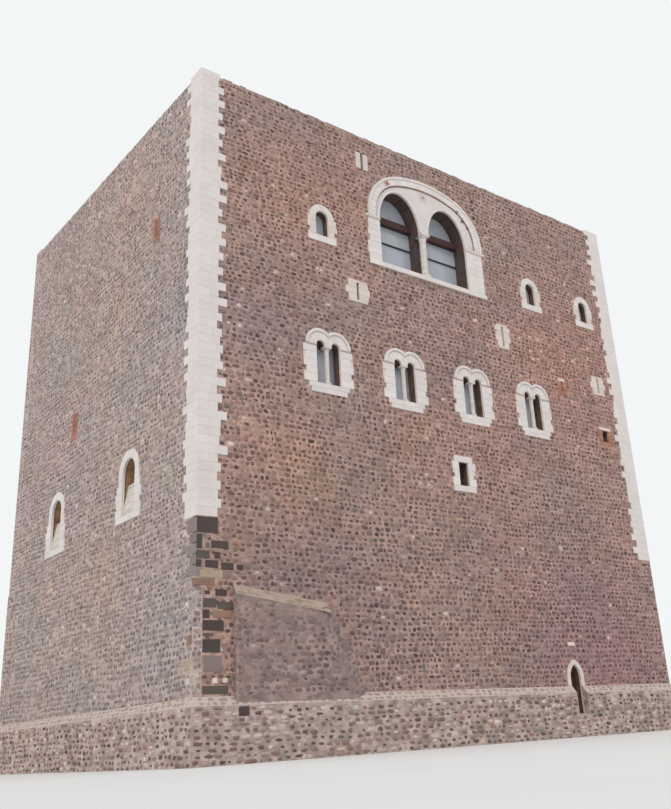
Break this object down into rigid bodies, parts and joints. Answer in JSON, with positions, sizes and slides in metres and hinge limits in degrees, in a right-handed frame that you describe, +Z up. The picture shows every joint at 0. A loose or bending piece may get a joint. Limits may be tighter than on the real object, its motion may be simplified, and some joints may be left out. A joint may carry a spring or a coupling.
{
  "type": "castle keep",
  "caption": "Square-built hollow stone castle keep with corner quoins, a large double-arched window, a row of small double windows, lancets, slits and a low postern.",
  "frame": {"origin": "middle of the plan, on the ground", "axes": "+Z up, +Y from the front wall into the building, +X to the right along the front wall as seen from outside"},
  "size_m": [24.9, 18.6, 25.57],
  "materials": {
    "lava_rubble": "matte",
    "footing_rubble": "matte",
    "basalt_blocks": "matte",
    "white_limestone": "matte",
    "pale_limestone": "matte",
    "repair_facing": "matte",
    "floor_stone": "matte",
    "terrace_paving": "matte",
    "dark_reveal": "matte",
    "ochre_reveal": "matte",
    "lancet_sill_stone": "matte",
    "red_brick": "matte",
    "dark_timber": "matte",
    "window_glass": "gloss"
  },
  "bodies": {
    "root": {"back_wall_first": "lava_rubble", "back_wall_ground": "lava_rubble", "back_wall_hall": "lava_rubble", "back_wall_upper": "lava_rubble", "basalt_quoins": "basalt_blocks", "bifora_colonnettes": "white_limestone", "bifora_heads": "pale_limestone", "bifora_jambs": "pale_limestone", "bifora_sills": "white_limestone", "big_window_arch_rings": "pale_limestone", "big_window_beams": "dark_timber", "big_window_columns": "pale_limestone", "big_window_jambs": "pale_limestone", "big_window_linings": "dark_reveal", "big_window_sills": "white_limestone", "big_window_tympana": "pale_limestone", "brick_window_frames": "red_brick", "first_floor": "floor_stone", "first_glass": "window_glass", "front_repair_facing": "repair_facing", "front_wall_first": "lava_rubble", "front_wall_ground": "lava_rubble", "front_wall_hall": "lava_rubble", "front_wall_upper": "lava_rubble", "ground_floor": "floor_stone", "hall_floor": "floor_stone", "hall_glass": "window_glass", "lancet_linings": "ochre_reveal", "lancet_sills": "lancet_sill_stone", "lancet_surrounds": "pale_limestone", "left_wall_first": "lava_rubble", "left_wall_hall": "lava_rubble", "left_wall_upper": "lava_rubble", "limestone_quoins": "white_limestone", "postern_arch": "pale_limestone", "right_wall_first": "lava_rubble", "right_wall_hall": "lava_rubble", "right_wall_upper": "lava_rubble", "roof_terrace": "terrace_paving", "rubble_footing": "footing_rubble", "side_walls_ground": "lava_rubble", "slit_stones": "pale_limestone", "small_window_surrounds": "pale_limestone", "upper_floor": "floor_stone", "upper_glass": "window_glass"}
  },
  "joints": []
}
